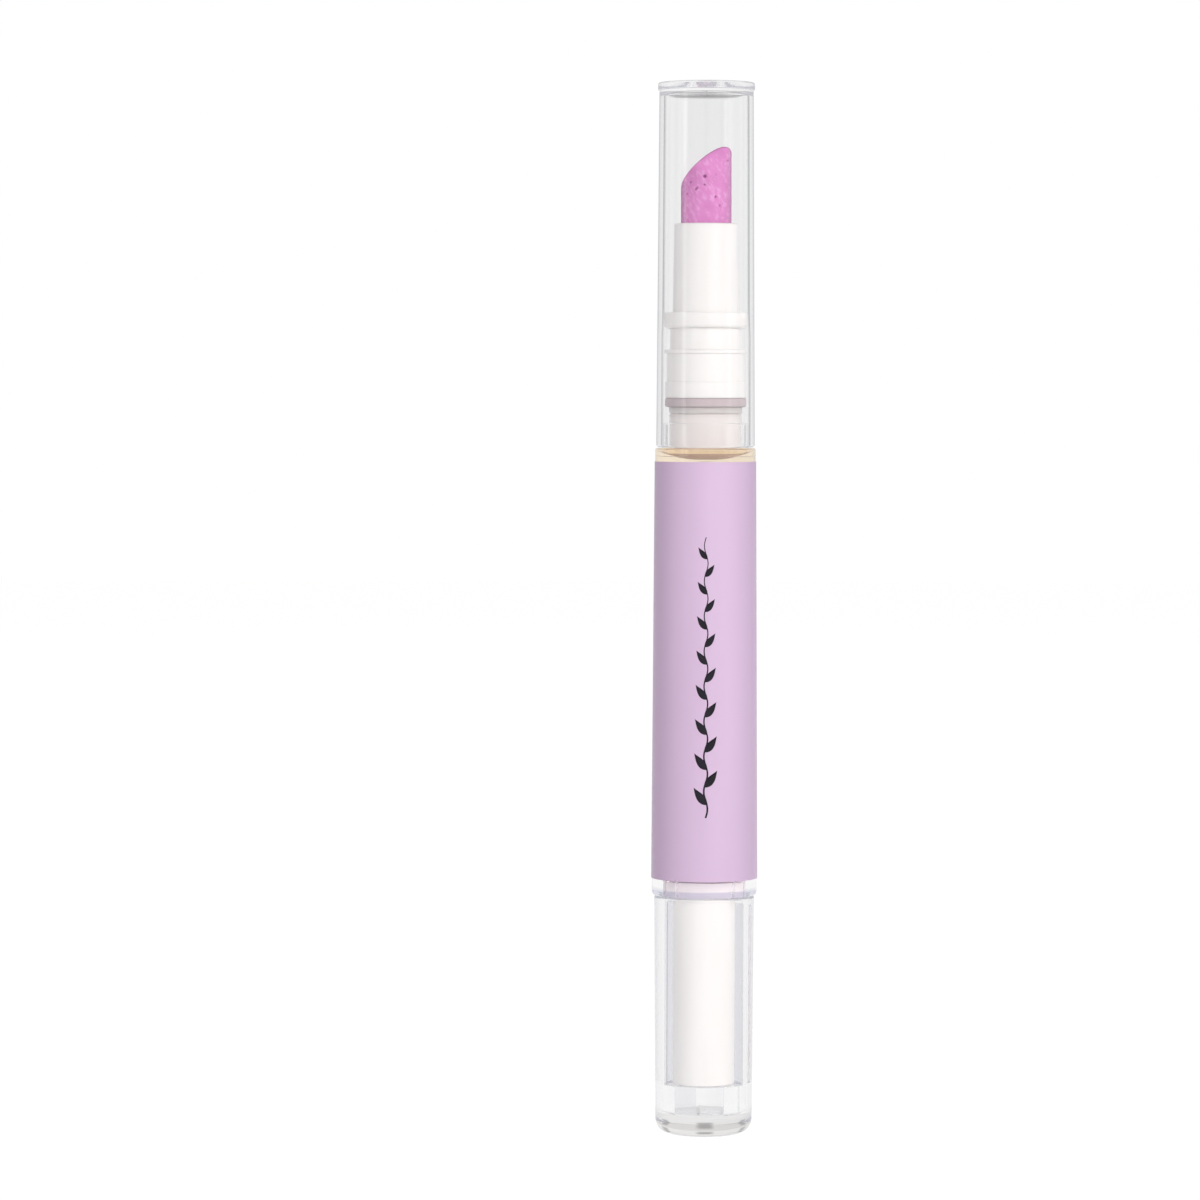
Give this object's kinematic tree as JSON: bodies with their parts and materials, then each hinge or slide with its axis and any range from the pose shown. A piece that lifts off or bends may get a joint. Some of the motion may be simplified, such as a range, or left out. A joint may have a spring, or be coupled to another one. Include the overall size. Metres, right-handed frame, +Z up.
{
  "type": "nail oil pen",
  "caption": "Twist-up nail oil pen: clear cap over a slanted pink pusher tip on a white neck, lavender film on a clear barrel of amber oil, and a clear ribbed twist knob.",
  "frame": {"origin": "centre of the knob's flat foot, on which the pen stands", "axes": "+Z up along the pen from knob to cap; -Y faces the viewer of the picture, so that +X is to the right"},
  "size_m": [0.0128, 0.0128, 0.126],
  "materials": {
    "clear_plastic": "polished clear moulding",
    "white_plastic": "satin moulding",
    "milky_plastic": "translucent milky moulding",
    "natural_plastic": "plain moulding",
    "lavender_film": "satin printed film",
    "amber_oil": "clear liquid",
    "pink_tip": "soft, finely pitted",
    "seal_rubber": "soft, matte"
  },
  "bodies": {
    "pen_body": {"barrel": "clear_plastic", "label_sleeve": "lavender_film", "oil_fill": "amber_oil", "neck_plug": "milky_plastic", "neck_seal": "seal_rubber", "neck_connector": "white_plastic", "tip_holder": "white_plastic", "feed_tube": "natural_plastic", "pusher_tip": "pink_tip", "feed_nut": "natural_plastic", "ratchet_ring": "natural_plastic", "end_collar": "natural_plastic"},
    "cap": {"cap": "clear_plastic"},
    "knob": {"knob": "clear_plastic", "drive_sleeve": "white_plastic", "click_spring": "natural_plastic"},
    "rod": {"screw_rod": "natural_plastic"},
    "piston": {"piston": "milky_plastic"}
  },
  "joints": [
    {"name": "cap_pull", "type": "slide", "parent": "pen_body", "child": "cap", "axis": [0, 0, 1], "range_m": [0, 0.045]},
    {"name": "knob_twist", "type": "hinge", "parent": "pen_body", "child": "knob", "pos_m": [0, 0, 0.02875], "axis": [0, 0, 1], "range_deg": [0, 4860], "deforming": ["click_spring"]},
    {"name": "rod_advance", "type": "slide", "parent": "knob", "child": "rod", "axis": [0, 0, 1], "range_m": [0, 0.027]},
    {"name": "piston_travel", "type": "slide", "parent": "pen_body", "child": "piston", "axis": [0, 0, 1], "range_m": [0, 0.027], "deforming": ["oil_fill"]}
  ],
  "couplings": [
    {"joint": "rod_advance", "follows": "knob_twist", "m_per_rad": 0.00031831},
    {"joint": "piston_travel", "follows": "knob_twist", "m_per_rad": 0.00031831}
  ]
}
